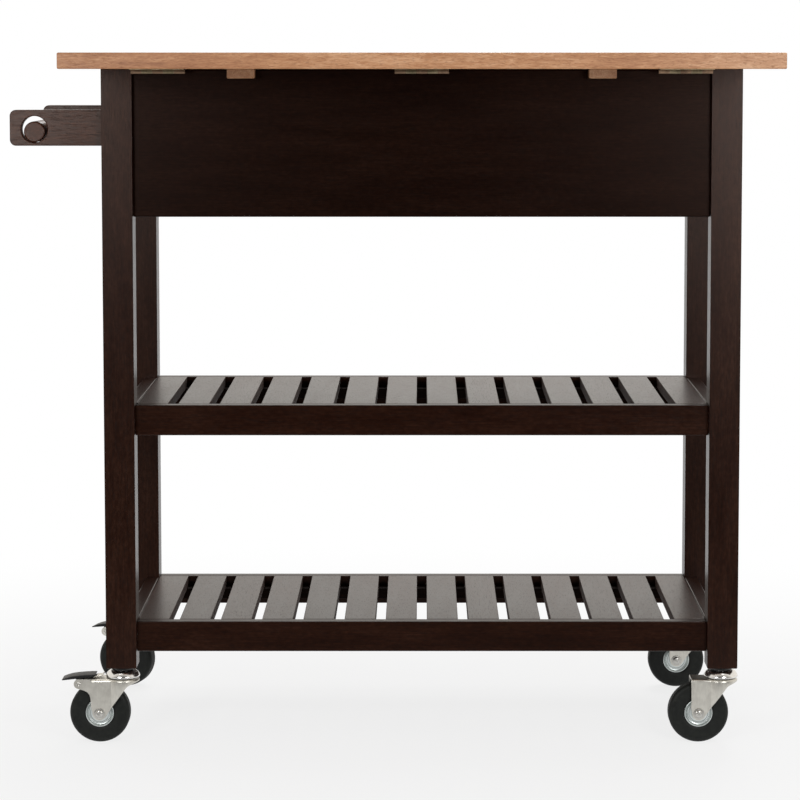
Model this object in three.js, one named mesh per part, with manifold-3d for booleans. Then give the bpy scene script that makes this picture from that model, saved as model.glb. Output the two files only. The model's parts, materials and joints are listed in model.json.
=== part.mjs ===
// Drop leaf kitchen island on casters: slatted shelves, two drawers, a towel bar and a drop leaf.
// Millimetres, +Z up, standing on Z = 0. The leaf side faces -Y, and the towel bar is on the -X side.
import * as THREE from 'three';
import * as BufferGeometryUtils from 'three/addons/utils/BufferGeometryUtils.js';
import Module from 'manifold-3d';

const wasm = await Module();
wasm.setup();

// ---- Driving dimensions ----

const seat = 0.3; // gap left between faces that touch
const arris = 1.5; // rounding of wooden edges

// frame
const frameWidth = 795; // outside of the legs, along X
const frameDepth = 367; // outside of the legs, along Y
const legSide = 38;
const overallHeight = 869.5;
const railThickness = 18;
const sideThickness = 18;
const railHeight = 38;
const railSetback = 10; // rails' outer faces behind the legs' outer faces

// tops
const topThickness = 19;
const topWidth = 844;
const hingeLineOut = 18; // joint line of the leaf, out from the legs
const topOverhangBack = 20;
const leafDepth = 223;
const leafGap = 0.6;

// drawer case
const caseDepth = 183; // height of the apron and the side panels
const caseTopGap = 2; // shadow gap under the worktop
const drawerRailHeight = 25;
const dividerThickness = 18;
const runnerWidth = 22;
const runnerHeight = 12;
const drawerFrontThickness = 16;
const drawerReveal = 2;
const drawerWall = 12;
const drawerBottom = 5;
const drawerBottomRaise = 8; // underside of the bottom above the sides' lower edges
const drawerHeadroom = 27; // between a drawer box and the support guides
const drawerBackClearance = 27; // behind a closed drawer box
const drawerSideClearance = 4;
const drawerRunClearance = 0.5;

// drawer knobs
const knobRadius = 15;
const knobNeckRadius = 7;
const knobBaseRadius = 9;
const knobProjection = 25;

// leaf supports
const supportSpacing = 447; // between centres
const supportWidth = 34;
const supportThickness = 12.5;
const supportSlip = 0.5;
const supportTravel = 150;
const supportEndSetback = 6; // free end behind the leaf's joint line
const supportTail = 26; // behind the peg
const supportPegRadius = 4;
const guideWall = 8;
const guideFloor = 5;
const guideNose = 14; // solid floor ahead of the slot
const guideTail = 17; // behind the peg

// hinges
const hingeWidth = 67;
const hingeLegGap = 1;
const hingeKnuckleRadius = 3.5;
const hingeKnuckles = 5;
const hingeKnuckleGap = 0.4;
const hingePinRadius = 1.5;
const hingePlate = 1.5;
const hingeLeafSpan = 22; // pin's axis to a plate's free edge
const hingeNotch = 0.7; // between a plate and the other plate's knuckles
const hingeHoleRadius = 2;
const hingeHoles = 3;
const hingeHoleInset = 10;

// shelves
const middleShelfTop = 429.2;
const lowerShelfTop = 154.5;
const slatCount = 14;
const slatGap = 13;
const slatThickness = 14;
const slatChamfer = 0.8;
const cleatWidth = 20;
const cleatHeight = 14;

// towel bar
const bracketTip = 114.7; // out from the legs
const bracketSetback = 10; // brackets' outer faces behind the legs' outer faces
const bracketHeight = 44.5;
const bracketThickness = 18;
const bracketDrop = 52; // top edge below the worktop's underside
const bracketCorner = 7.5;
const barRadius = 13;
const barSlack = 3.5; // hole's radius over the bar's
const barEndWall = 14; // between the hole and the bracket's tip
const barHoleLow = 1.8; // hole's centre below the bracket's middle
const barChamfer = 1.2;

// casters
const wheelRadius = 38;
const wheelWidth = 22;
const tyreInnerRadius = 18.3;
const tyreShoulder = 4;
const hubFaceInset = 2.5;
const hubBossRadius = 8;
const hubBossProud = 1.5; // beyond the tyre's side
const hubSideClearance = 1.5; // between the boss and the fork
const trail = 28.7;
const forkPlate = 2;
const forkEndRadius = 8.5;
const forkBack = 9.8; // sides' back edge behind the axle
const forkKneeAhead = 6; // bend of the front edge, ahead of the swivel axis
const forkKneeDrop = 10; // and below the crown's top
const forkFrontDrop = 4; // front's lower edge below the crown's top
const crownWheelGap = 4;
const crownRadius = 21; // of the fork's round front
const axleRadius = 4;
const axleHeadRadius = 6;
const axleHeadHeight = 3;
const raceRadius = 21.5;
const raceHeight = 10;
const raceNeckRadius = 17;
const washerRadius = 14;
const washerHeight = 3.4;
const kingpinRadius = 5;
const kingpinHeadRadius = 8;
const kingpinHeadHeight = 4.5;
const stemLength = 36; // up inside the leg

// brakes
const brakePivotBack = 26; // behind the axle
const brakePivotDrop = 6.2; // below the crown's top
const brakeEarRadius = 6;
const brakeEarCurve = 20; // the side's edge curves out to the ear this far above the axle
const brakePinRadius = 2;
const brakeBossRadius = 4.4;
const brakeLobeRadius = 2;
const brakeTyreGap = 0.5; // with the brake on
const brakeSwing = 25; // degrees
const brakeSideClearance = 1.5; // between the lever and the fork
const pedalReach = 21.5; // tip behind the pivot
const pedalTipRise = 4.2; // and above it
const pedalInner = 21.5; // inner end ahead of the pivot
const pedalCrownGap = 1.5; // between its inner end and the crown
const pedalThickness = 3.6; // at its inner end
const pedalSlant = 2.5; // of its inner end

// how the casters stand: degrees of swivel from trailing towards -X
const casters = [
  { name: 'front_left', side: -1, back: false, swivel: 0, brake: true },
  { name: 'front_right', side: 1, back: false, swivel: 0, brake: false },
  { name: 'back_left', side: -1, back: true, swivel: -14, brake: true },
  { name: 'back_right', side: 1, back: true, swivel: 0, brake: false },
];

// ---- Derived places ----

const forkInnerWidth = wheelWidth + 2 * (hubBossProud + hubSideClearance);
const forkOuter = forkInnerWidth / 2 + forkPlate;
const crownTop = 2 * wheelRadius + crownWheelGap + forkPlate;
const casterHeight = crownTop + seat + raceHeight + washerHeight + seat; // floor to the legs' feet
const brakePivotUp = crownTop - brakePivotDrop - wheelRadius; // above the axle
const underside = overallHeight - topThickness;
const legInnerX = frameWidth / 2 - legSide;
const legCentreX = (frameWidth - legSide) / 2;
const legCentreY = { front: legSide / 2, back: frameDepth - legSide / 2 };
const legTop = underside - seat;
const railFront = [railSetback, railSetback + railThickness];
const railBack = [frameDepth - railSetback - railThickness, frameDepth - railSetback];
const betweenLegsX = [-legInnerX + seat, legInnerX - seat];
const betweenLegsY = [legSide + seat, frameDepth - legSide - seat];
const betweenRailsY = [railFront[1] + seat, railBack[0] - seat];
const caseTop = underside - caseTopGap;
const caseBottom = caseTop - caseDepth;
const hingeLine = -hingeLineOut;
const pinHeight = underside - hingeKnuckleRadius - hingeKnuckleGap;
const runnerTop = caseBottom + drawerRailHeight + drawerReveal;
const dividerSide = dividerThickness / 2;
const supportTop = underside - supportSlip;
const supportBottom = supportTop - supportThickness;
const supportFront = hingeLine + supportEndSetback;
const guideFront = betweenRailsY[0];
const guideBottom = supportBottom - supportSlip - guideFloor;
const guideSlot = supportPegRadius + supportSlip;
const pegInGuide = guideNose + guideSlot + supportTravel; // peg's axis from the guide's front
const bracketTipX = -frameWidth / 2 - bracketTip;
const bracketBottom = underside - bracketDrop - bracketHeight;
const barHoleRadius = barRadius + barSlack;
const barHole = [barEndWall + barHoleRadius, bracketHeight / 2 - barHoleLow]; // in the bracket

// ---- Materials ----

function finish(color, roughness, metalness) {
  return new THREE.MeshStandardMaterial({ color, roughness, metalness });
}

const darkWood = () => finish(0x2b1b17, 0.35, 0);
const paleWood = () => finish(0xc9976d, 0.45, 0);
const drawerWood = () => finish(0xd8c09a, 0.6, 0);
const brass = () => finish(0xb6a06a, 0.35, 1);
const zinc = () => finish(0xbfc2c4, 0.3, 1);
const blackRubber = () => finish(0x1c1c1b, 0.8, 0);
const nickel = () => finish(0xb9b6b0, 0.3, 1);
const blackPlastic = () => finish(0x222222, 0.5, 0);

// ---- Closed solids ----

// The geometry with positions only, shared vertices merged and faces of no area left out.
function bare(geometry) {
  const plain = geometry.clone();
  plain.deleteAttribute('normal');
  plain.deleteAttribute('uv');
  const merged = BufferGeometryUtils.mergeVertices(plain, 1e-4);
  const index = merged.index.array;
  const kept = [];
  for (let i = 0; i < index.length; i += 3) {
    const [a, b, c] = [index[i], index[i + 1], index[i + 2]];
    if (a !== b && b !== c && c !== a) kept.push(a, b, c);
  }
  merged.setIndex(kept);
  return merged;
}

function toSolid(geometry) {
  const merged = bare(geometry);
  const vertProperties = new Float32Array(merged.attributes.position.array);
  const triVerts = new Uint32Array(merged.index.array);
  return new wasm.Manifold(new wasm.Mesh({ numProp: 3, vertProperties, triVerts }));
}

function toGeometry(solid) {
  const { vertProperties, triVerts } = solid.getMesh();
  const geometry = new THREE.BufferGeometry();
  geometry.setAttribute('position', new THREE.BufferAttribute(new Float32Array(vertProperties), 3));
  geometry.setIndex(new THREE.BufferAttribute(new Uint32Array(triVerts), 1));
  return geometry;
}

function combine(base, joined, removed = []) {
  let solid = toSolid(base);
  for (const geometry of joined) solid = solid.add(toSolid(geometry));
  for (const geometry of removed) solid = solid.subtract(toSolid(geometry));
  return toGeometry(solid);
}

// A board centred on the origin, with rounded edges, or chamfered ones if bevelSegments is 1.
function board(x, y, z, round = arris, bevelSegments = 2) {
  const [halfX, halfY] = [x / 2 - round, y / 2 - round];
  const outline = new THREE.Shape();
  outline.moveTo(-halfX, -halfY);
  outline.lineTo(halfX, -halfY);
  outline.lineTo(halfX, halfY);
  outline.lineTo(-halfX, halfY);
  const depth = z - 2 * round;
  const bevel = { bevelSize: round, bevelThickness: round, bevelSegments };
  return new THREE.ExtrudeGeometry(outline, { depth, steps: 1, ...bevel }).translate(0, 0, -depth / 2);
}

function box(xRange, yRange, zRange) {
  const sizes = [xRange, yRange, zRange].map(([low, high]) => high - low);
  const middles = [xRange, yRange, zRange].map(([low, high]) => (low + high) / 2);
  return new THREE.BoxGeometry(...sizes).translate(...middles);
}

// A cylinder along Z, from bottom to top.
function rod(radius, bottom, top, segments = 24) {
  const height = top - bottom;
  const cylinder = new THREE.CylinderGeometry(radius, radius, height, segments);
  return cylinder.rotateX(Math.PI / 2).translate(0, 0, bottom + height / 2);
}

// A solid turned about Z from [radius, height] points listed from the bottom up.
function turned(profile, segments) {
  const points = profile.map(([radius, height]) => new THREE.Vector2(radius, height));
  return bare(new THREE.LatheGeometry(points, segments).rotateX(Math.PI / 2));
}

// An outline drawn in X and Z, extruded along Y between two planes.
function extrudedAlongY(shape, [low, high], curveSegments = 6) {
  const settings = { depth: high - low, bevelEnabled: false, curveSegments };
  return new THREE.ExtrudeGeometry(shape, settings).rotateX(Math.PI / 2).translate(0, high, 0);
}

// An outline drawn in X and Y, extruded along Z between two planes.
function extrudedAlongZ(shape, [low, high], curveSegments) {
  const settings = { depth: high - low, bevelEnabled: false, curveSegments };
  return new THREE.ExtrudeGeometry(shape, settings).translate(0, 0, low);
}

function alongX(geometry) {
  return geometry.rotateY(Math.PI / 2);
}

function alongY(geometry) {
  return geometry.rotateX(-Math.PI / 2);
}

function piece(parent, name, geometry, material, place = [0, 0, 0]) {
  const mesh = new THREE.Mesh(geometry, material);
  mesh.name = name;
  mesh.position.set(...place);
  parent.add(mesh);
  return mesh;
}

// A rounded board filling the given ranges.
function boardIn(parent, name, material, xRange, yRange, zRange) {
  const ranges = [xRange, yRange, zRange];
  const sizes = ranges.map(([low, high]) => high - low);
  const middles = ranges.map(([low, high]) => (low + high) / 2);
  return piece(parent, name, board(...sizes), material, middles);
}

const sides = [
  { name: 'left', sign: -1 },
  { name: 'right', sign: 1 },
];

function mirrored([low, high], sign) {
  return sign > 0 ? [low, high] : [-high, -low];
}

// ---- Frame ----

function addLegs(parent) {
  const length = legTop - casterHeight;
  const middle = casterHeight + length / 2;
  const bore = rod(kingpinRadius + seat, -length / 2 - 1, -length / 2 + stemLength + seat, 20);
  for (const [end, y] of Object.entries(legCentreY)) {
    for (const { name, sign } of sides) {
      const leg = combine(board(legSide, legSide, length), [], [bore]);
      piece(parent, `leg_${end}_${name}`, leg, darkWood(), [sign * legCentreX, y, middle]);
    }
  }
}

function addWorktop(parent) {
  const x = [-topWidth / 2, topWidth / 2];
  const z = [underside, overallHeight];
  const front = hingeLine + leafGap / 2;
  boardIn(parent, 'fixed_top', paleWood(), x, [front, frameDepth + topOverhangBack], z);
}

function addLeaf(parent) {
  const x = [-topWidth / 2, topWidth / 2];
  const edge = hingeLine - leafGap / 2;
  boardIn(parent, 'drop_leaf', paleWood(), x, [edge - leafDepth, edge], [underside, overallHeight]);
}

// The apron under the leaf joint, notched for the leaf supports.
function addApron(parent) {
  const apron = board(2 * betweenLegsX[1], railThickness, caseDepth);
  const notchBottom = supportBottom - supportSlip;
  const middle = (caseTop + caseBottom) / 2;
  const y = (railFront[0] + railFront[1]) / 2;
  const halfNotch = supportWidth / 2 + supportSlip;
  const notches = sides.map(({ sign }) => {
    const centre = (sign * supportSpacing) / 2;
    const z = [notchBottom - middle, caseDepth];
    return box([centre - halfNotch, centre + halfNotch], [-railThickness, railThickness], z);
  });
  piece(parent, 'apron_panel', combine(apron, [], notches), darkWood(), [0, y, middle]);
}

function addSidePanels(parent) {
  for (const { name, sign } of sides) {
    const x = mirrored([legInnerX, legInnerX + sideThickness], sign);
    boardIn(parent, `side_panel_${name}`, darkWood(), x, betweenLegsY, [caseBottom, caseTop]);
  }
}

// ---- Drawers ----

function addDrawerCase(parent) {
  const railTop = caseBottom + drawerRailHeight;
  boardIn(parent, 'drawer_rail', darkWood(), betweenLegsX, railBack, [caseBottom, railTop]);

  const length = railBack[1] - betweenRailsY[0];
  const middle = [0, betweenRailsY[0] + length / 2, (caseBottom + caseTop) / 2];
  const notchY = [railBack[0] - seat - middle[1], length];
  const notchZ = [-caseDepth, railTop + seat - middle[2]];
  const notch = box([-dividerThickness, dividerThickness], notchY, notchZ);
  const runners = sides.map(({ sign }) => {
    const x = mirrored([dividerSide - 1, dividerSide + runnerWidth], sign);
    const y = [-length / 2, betweenRailsY[1] - middle[1]];
    return box(x, y, [runnerTop - runnerHeight - middle[2], runnerTop - middle[2]]);
  });
  const divider = combine(board(dividerThickness, length, caseDepth), runners, [notch]);
  piece(parent, 'drawer_divider', divider, drawerWood(), middle);

  for (const { name, sign } of sides) {
    const x = mirrored([legInnerX - runnerWidth, legInnerX - seat], sign);
    const z = [runnerTop - runnerHeight, runnerTop];
    boardIn(parent, `drawer_runner_${name}`, drawerWood(), x, betweenRailsY, z);
  }
}

function drawerBox(width, length, height) {
  const [halfX, halfY, halfZ] = [width / 2, length / 2, height / 2];
  const floorTop = -halfZ + drawerBottomRaise + drawerBottom;
  const x = [-halfX + drawerWall, halfX - drawerWall];
  const y = [-halfY + drawerWall, halfY - drawerWall];
  const inside = box(x, y, [floorTop, halfZ + 1]);
  const recess = box(x, y, [-halfZ - 1, floorTop - drawerBottom]);
  return combine(board(width, length, height, 1), [], [inside, recess]);
}

function knob() {
  const face = knobProjection;
  return turned([
    [0, 0], [knobBaseRadius, 0], [knobBaseRadius, 2], [knobNeckRadius, 5], [knobNeckRadius, face * 0.45],
    [knobRadius - 2, face * 0.6], [knobRadius, face * 0.72], [knobRadius - 1, face * 0.86],
    [knobRadius - 5, face * 0.97], [0, face],
  ], 20);
}

function addDrawers(parent) {
  const frontX = [dividerSide + drawerReveal, legInnerX - drawerReveal];
  const frontY = [railBack[1] - drawerFrontThickness, railBack[1]];
  const frontZ = [runnerTop, caseTop];
  const boxX = [dividerSide + drawerSideClearance, legInnerX - drawerSideClearance];
  const boxY = [guideFront + drawerBackClearance, frontY[0] - seat];
  const boxZ = [runnerTop + drawerRunClearance, guideBottom - drawerHeadroom];
  const sizes = [boxX, boxY, boxZ].map(([low, high]) => high - low);
  for (const { name, sign } of sides) {
    const place = [boxX, boxY, boxZ].map(([low, high]) => (low + high) / 2);
    place[0] *= sign;
    boardIn(parent, `drawer_front_${name}`, darkWood(), mirrored(frontX, sign), frontY, frontZ);
    piece(parent, `drawer_box_${name}`, drawerBox(...sizes), drawerWood(), place);
    const knobPlace = [(sign * (frontX[0] + frontX[1])) / 2, frontY[1] + seat, (frontZ[0] + frontZ[1]) / 2];
    piece(parent, `drawer_knob_${name}`, alongY(knob()), nickel(), knobPlace);
  }
}

// ---- Leaf supports ----

// A flat slide with a peg below, which stops it at the end of its guide's slot.
function leafSupport(length) {
  const pegBottom = -supportThickness / 2 - supportSlip - guideFloor;
  const peg = rod(supportPegRadius, pegBottom, 0, 16).translate(0, length / 2 - supportTail, 0);
  return combine(board(supportWidth, length, supportThickness), [peg]);
}

function supportGuide() {
  const halfChannel = supportWidth / 2 + supportSlip;
  const halfWidth = halfChannel + guideWall;
  const height = underside - seat - guideBottom;
  const length = pegInGuide + guideTail;
  const body = box([-halfWidth, halfWidth], [0, length], [0, height]);
  const channel = box([-halfChannel, halfChannel], [-1, length + 1], [guideFloor, height + 1]);
  const slot = box([-guideSlot, guideSlot], [guideNose, length + 1], [-1, guideFloor + 1]);
  return combine(body, [], [channel, slot]);
}

function addSupports(parent) {
  const length = guideFront + pegInGuide + supportTail - supportFront;
  const [y, z] = [supportFront + length / 2, (supportTop + supportBottom) / 2];
  for (const { name, sign } of sides) {
    const x = (sign * supportSpacing) / 2;
    piece(parent, `leaf_support_${name}`, leafSupport(length), paleWood(), [x, y, z]);
    piece(parent, `support_guide_${name}`, supportGuide(), drawerWood(), [x, guideFront, guideBottom]);
  }
}

// ---- Hinges: each has its pin's axis on the local X axis ----

function knuckleSpan(index) {
  const pitch = hingeWidth / hingeKnuckles;
  const start = -hingeWidth / 2 + index * pitch;
  return [start + hingeKnuckleGap / 2, start + pitch - hingeKnuckleGap / 2];
}

// One plate on the +Y side, with its own knuckles, screw holes and, if it carries the pin, the pin.
function hingeHalf(first, carriesPin) {
  const plateTop = underside - seat - pinHeight;
  const z = [plateTop - hingePlate, plateTop];
  const notchEdge = hingeKnuckleRadius + hingeNotch;
  const plate = box([-hingeWidth / 2, hingeWidth / 2], [notchEdge, hingeLeafSpan], z);
  const spans = [];
  for (let i = first; i < hingeKnuckles; i += 2) spans.push(knuckleSpan(i));
  const tabs = spans.map((x) => box(x, [0, notchEdge + 1], z));
  const barrels = spans.map((x) => alongX(rod(hingeKnuckleRadius, ...x, 14)));
  const holePitch = (hingeWidth - 2 * hingeHoleInset) / Math.max(hingeHoles - 1, 1);
  const holes = [];
  for (let i = 0; i < hingeHoles; i += 1) {
    const hole = rod(hingeHoleRadius, z[0] - 1, z[1] + 1, 8);
    holes.push(hole.translate(-hingeWidth / 2 + hingeHoleInset + i * holePitch,
      (notchEdge + hingeLeafSpan) / 2, 0));
  }
  const end = hingeWidth / 2 - hingeKnuckleGap;
  const pin = (radius) => alongX(rod(radius, -end, end, 12));
  if (carriesPin) return combine(plate, [...tabs, ...barrels, pin(hingePinRadius)], holes);
  return combine(plate, [...tabs, ...barrels], [...holes, pin(hingePinRadius + seat)]);
}

const hingePlaces = [
  { name: 'left', x: -legInnerX + hingeLegGap + hingeWidth / 2 },
  { name: 'centre', x: 0 },
  { name: 'right', x: legInnerX - hingeLegGap - hingeWidth / 2 },
];

function addHingeHalves(parent, part, first, carriesPin, turn) {
  for (const { name, x } of hingePlaces) {
    const plate = hingeHalf(first, carriesPin);
    const half = piece(parent, `hinge_${name}_${part}`, plate, brass(), [x, hingeLine, pinHeight]);
    half.rotation.z = turn;
  }
}

// ---- Shelves ----

// The slats of one shelf, joined by a cleat at either end; its top is at local Z = 0.
function slatDeck() {
  const length = betweenRailsY[1] - betweenRailsY[0];
  const width = betweenLegsX[1];
  const cleatZ = [-slatThickness - cleatHeight, -slatThickness + arris];
  const cleats = [-1, 1].map((end) => {
    const y = mirrored([length / 2 - cleatWidth, length / 2 - 1], end);
    return box([-width + arris, width - arris], y, cleatZ);
  });
  const slatPitch = (2 * width + slatGap) / slatCount;
  const slats = [];
  for (let i = 0; i < slatCount; i += 1) {
    const slat = board(slatPitch - slatGap, length, slatThickness, slatChamfer, 1);
    const middle = (i - (slatCount - 1) / 2) * slatPitch;
    slats.push(slat.translate(middle, 0, -slatThickness / 2));
  }
  return combine(cleats[0], [cleats[1], ...slats]);
}

function addShelf(parent, name, top) {
  const z = [top - railHeight, top];
  const middleY = (betweenRailsY[0] + betweenRailsY[1]) / 2;
  boardIn(parent, `${name}_shelf_front_rail`, darkWood(), betweenLegsX, railFront, z);
  boardIn(parent, `${name}_shelf_back_rail`, darkWood(), betweenLegsX, railBack, z);
  for (const side of sides) {
    const x = mirrored([legInnerX, legInnerX + sideThickness], side.sign);
    boardIn(parent, `${name}_shelf_${side.name}_rail`, darkWood(), x, betweenLegsY, z);
  }
  piece(parent, `${name}_shelf_slats`, slatDeck(), darkWood(), [0, middleY, top]);
}

// ---- Towel bar ----

function towelBracket() {
  const length = bracketTip - seat;
  const shape = new THREE.Shape();
  shape.moveTo(length, 0);
  shape.lineTo(length, bracketHeight);
  shape.absarc(bracketCorner, bracketHeight - bracketCorner, bracketCorner, Math.PI / 2, Math.PI, false);
  shape.absarc(bracketCorner, bracketCorner, bracketCorner, Math.PI, 1.5 * Math.PI, false);
  const hole = new THREE.Path();
  hole.absarc(...barHole, barHoleRadius, 0, 2 * Math.PI, true);
  shape.holes.push(hole);
  return extrudedAlongY(shape, [0, bracketThickness], 14);
}

function addTowelBar(parent) {
  const back = frameDepth - bracketSetback;
  const ends = { front: bracketSetback, back: back - bracketThickness };
  for (const [end, y] of Object.entries(ends)) {
    piece(parent, `towel_bracket_${end}`, towelBracket(), darkWood(), [bracketTipX, y, bracketBottom]);
  }
  const length = back - bracketSetback;
  const bar = alongY(turned([
    [0, 0], [barRadius - barChamfer, 0], [barRadius, barChamfer],
    [barRadius, length - barChamfer], [barRadius - barChamfer, length], [0, length],
  ], 32));
  const [x, z] = [bracketTipX + barHole[0], bracketBottom + barHole[1] - barSlack + seat];
  piece(parent, 'towel_bar', bar, darkWood(), [x, bracketSetback, z]);
}

// ---- Casters: the swivel axis is the local Z axis, and the wheel trails towards -X ----

function casterStem() {
  const raceBottom = crownTop + seat;
  const raceTop = raceBottom + raceHeight;
  const washerTop = raceTop + washerHeight;
  const headTop = crownTop - forkPlate - seat;
  const stemTop = casterHeight + stemLength;
  return turned([
    [0, headTop - kingpinHeadHeight], [kingpinHeadRadius, headTop - kingpinHeadHeight],
    [kingpinHeadRadius, headTop], [kingpinRadius, headTop], [kingpinRadius, raceBottom],
    [raceRadius - 1, raceBottom], [raceRadius, raceBottom + 1.5],
    [raceRadius, raceBottom + 0.35 * raceHeight],
    [raceRadius - 1.5, raceBottom + 0.65 * raceHeight], [raceNeckRadius, raceBottom + 0.85 * raceHeight],
    [raceNeckRadius, raceTop], [washerRadius, raceTop], [washerRadius, washerTop],
    [kingpinRadius, washerTop], [kingpinRadius, stemTop - 1], [kingpinRadius - 1, stemTop], [0, stemTop],
  ], 20);
}

// The fork's side view; a braked fork's sides reach back to an ear for the lever's pin.
function forkOutline(braked) {
  const [axleX, axleZ] = [-trail, wheelRadius];
  const back = axleX - forkBack;
  const shape = new THREE.Shape();
  shape.moveTo(axleX - forkEndRadius, axleZ);
  shape.absarc(axleX, axleZ, forkEndRadius, Math.PI, 1.8 * Math.PI, false);
  shape.lineTo(forkKneeAhead, crownTop - forkKneeDrop);
  shape.lineTo(crownRadius + 1, crownTop - forkFrontDrop);
  shape.lineTo(crownRadius + 1, crownTop);
  shape.lineTo(back, crownTop);
  if (braked) {
    const [earX, earZ] = [axleX - brakePivotBack, axleZ + brakePivotUp];
    shape.lineTo(earX, earZ + brakeEarRadius);
    shape.absarc(earX, earZ, brakeEarRadius, Math.PI / 2, 1.55 * Math.PI, false);
    shape.quadraticCurveTo(back, earZ - brakeEarRadius - 2, back, axleZ + brakeEarCurve);
  }
  return shape;
}

// The fork's plan: flat sides behind the swivel axis and a round front about it.
function forkPlan(back, inset) {
  const [half, radius] = [forkOuter - inset, crownRadius - inset];
  const fold = Math.PI - Math.asin(half / radius);
  const shape = new THREE.Shape();
  shape.moveTo(back, half);
  shape.lineTo(back, -half);
  shape.absarc(0, 0, radius, -fold, fold, false);
  return shape;
}

// The fork's sheet, open below and behind, with its crown closing the top as far back as crownBack.
function forkSheet(braked) {
  const inner = forkInnerWidth / 2;
  const crownBack = -trail - forkBack;
  const back = braked ? -trail - brakePivotBack - brakeEarRadius : crownBack;
  const top = crownTop + brakeEarRadius;
  const inside = extrudedAlongZ(forkPlan(back - 1, forkPlate), [-1, crownTop - forkPlate], 12);
  const behindCrown = box([back - 1, crownBack], [-inner, inner], [0, top + 1]);
  const folded = combine(extrudedAlongZ(forkPlan(back, 0), [0, top], 12), [], [inside, behindCrown]);
  const sideView = extrudedAlongY(forkOutline(braked), [-crownRadius - 1, crownRadius + 1], 5);
  return toGeometry(toSolid(folded).intersect(toSolid(sideView)));
}

function casterFork(braked) {
  const pins = [
    alongY(rod(axleRadius, -forkOuter - 1, forkOuter + 1, 16)),
    alongY(rod(axleHeadRadius, -forkOuter - axleHeadHeight, -forkOuter + 0.5, 16)),
    alongY(rod(axleHeadRadius, forkOuter - 0.5, forkOuter + axleHeadHeight, 6)),
  ].map((geometry) => geometry.translate(-trail, 0, wheelRadius));
  if (braked) {
    const pin = alongY(rod(brakePinRadius, -forkOuter - 1, forkOuter + 1, 12));
    pins.push(pin.translate(-trail - brakePivotBack, 0, wheelRadius + brakePivotUp));
  }
  const kingpinHole = rod(kingpinRadius + seat, crownTop - 2 * forkPlate, crownTop + 1, 20);
  return combine(forkSheet(braked), pins, [kingpinHole]);
}

function casterHub() {
  const radius = tyreInnerRadius - seat;
  const rim = wheelWidth / 2 - 1;
  const face = rim - hubFaceInset;
  const [boss, bore] = [wheelWidth / 2 + hubBossProud, axleRadius + seat];
  return turned([
    [bore, -boss], [hubBossRadius, -boss], [hubBossRadius + 1, -face], [radius - 3, -face],
    [radius - 2, -rim], [radius, -rim], [radius, rim], [radius - 2, rim],
    [radius - 3, face], [hubBossRadius + 1, face], [hubBossRadius, boss], [bore, boss], [bore, -boss],
  ], 24);
}

function casterTyre() {
  const half = wheelWidth / 2;
  const shoulder = wheelRadius - tyreShoulder;
  return turned([
    [tyreInnerRadius, -half], [shoulder, -half], [wheelRadius - 1.2, -half + 2.2],
    [wheelRadius, -half + tyreShoulder + 1], [wheelRadius, half - tyreShoulder - 1],
    [wheelRadius - 1.2, half - 2.2], [shoulder, half], [tyreInnerRadius, half], [tyreInnerRadius, -half],
  ], 36);
}

// The lever, with its pin's axis on the local Y axis. Its lobe meets the tyre when it has swung.
function brakeLever() {
  const halfWidth = forkInnerWidth / 2 - brakeSideClearance;
  const y = [-halfWidth, halfWidth];
  const pedalRise = brakePivotDrop + pedalCrownGap + pedalThickness; // inner end above the pivot
  const pedal = new THREE.Shape();
  pedal.moveTo(-pedalReach, pedalTipRise);
  pedal.lineTo(pedalInner - pedalSlant, pedalRise - pedalThickness);
  pedal.lineTo(pedalInner, pedalRise);
  pedal.quadraticCurveTo(0, pedalRise, -pedalReach * 0.5, pedalRise - 2.3);
  pedal.quadraticCurveTo(-pedalReach * 0.85, pedalRise - 5, -pedalReach, pedalTipRise + 1);
  const web = box([-brakeBossRadius + 0.6, brakeBossRadius - 0.6], y, [0, brakeBossRadius + 4]);
  const boss = alongY(rod(brakeBossRadius, ...y, 20));
  const toWheel = Math.atan2(-brakePivotUp, brakePivotBack);
  const lobeAngle = toWheel - THREE.MathUtils.degToRad(brakeSwing);
  const toTyre = Math.hypot(brakePivotBack, brakePivotUp) - wheelRadius;
  const lobeReach = toTyre - brakeLobeRadius - brakeTyreGap;
  const lobe = alongY(rod(brakeLobeRadius, ...y, 12)).translate(lobeReach, 0, 0).rotateY(-lobeAngle);
  const lobeStem = box([0, lobeReach], y, [-brakeLobeRadius, brakeLobeRadius]).rotateY(-lobeAngle);
  const bore = alongY(rod(brakePinRadius + seat, y[0] - 1, y[1] + 1, 16));
  return combine(extrudedAlongY(pedal, y), [web, boss, lobe, lobeStem], [bore]);
}

function addCaster(parent, { name, side, back, swivel, brake }) {
  const caster = new THREE.Group();
  caster.position.set(side * legCentreX, back ? legCentreY.back : legCentreY.front, 0);
  caster.rotation.z = THREE.MathUtils.degToRad(swivel);
  parent.add(caster);
  const axle = [-trail, 0, wheelRadius];
  piece(caster, `caster_${name}_stem`, casterStem(), zinc());
  piece(caster, `caster_${name}_fork`, casterFork(brake), zinc());
  piece(caster, `caster_${name}_hub`, alongY(casterHub()), zinc(), axle);
  piece(caster, `caster_${name}_tyre`, alongY(casterTyre()), blackRubber(), axle);
  if (brake) {
    const pivot = [-trail - brakePivotBack, 0, wheelRadius + brakePivotUp];
    piece(caster, `caster_${name}_brake`, brakeLever(), blackPlastic(), pivot);
  }
}

// ---- Assembly, centred on the middle of its own footprint ----

const island = new THREE.Group();
const footprint = {
  x: [bracketTipX, topWidth / 2],
  y: [hingeLine - leafGap / 2 - leafDepth, frameDepth + topOverhangBack],
};
island.position.set(-(footprint.x[0] + footprint.x[1]) / 2, -(footprint.y[0] + footprint.y[1]) / 2, 0);

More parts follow.
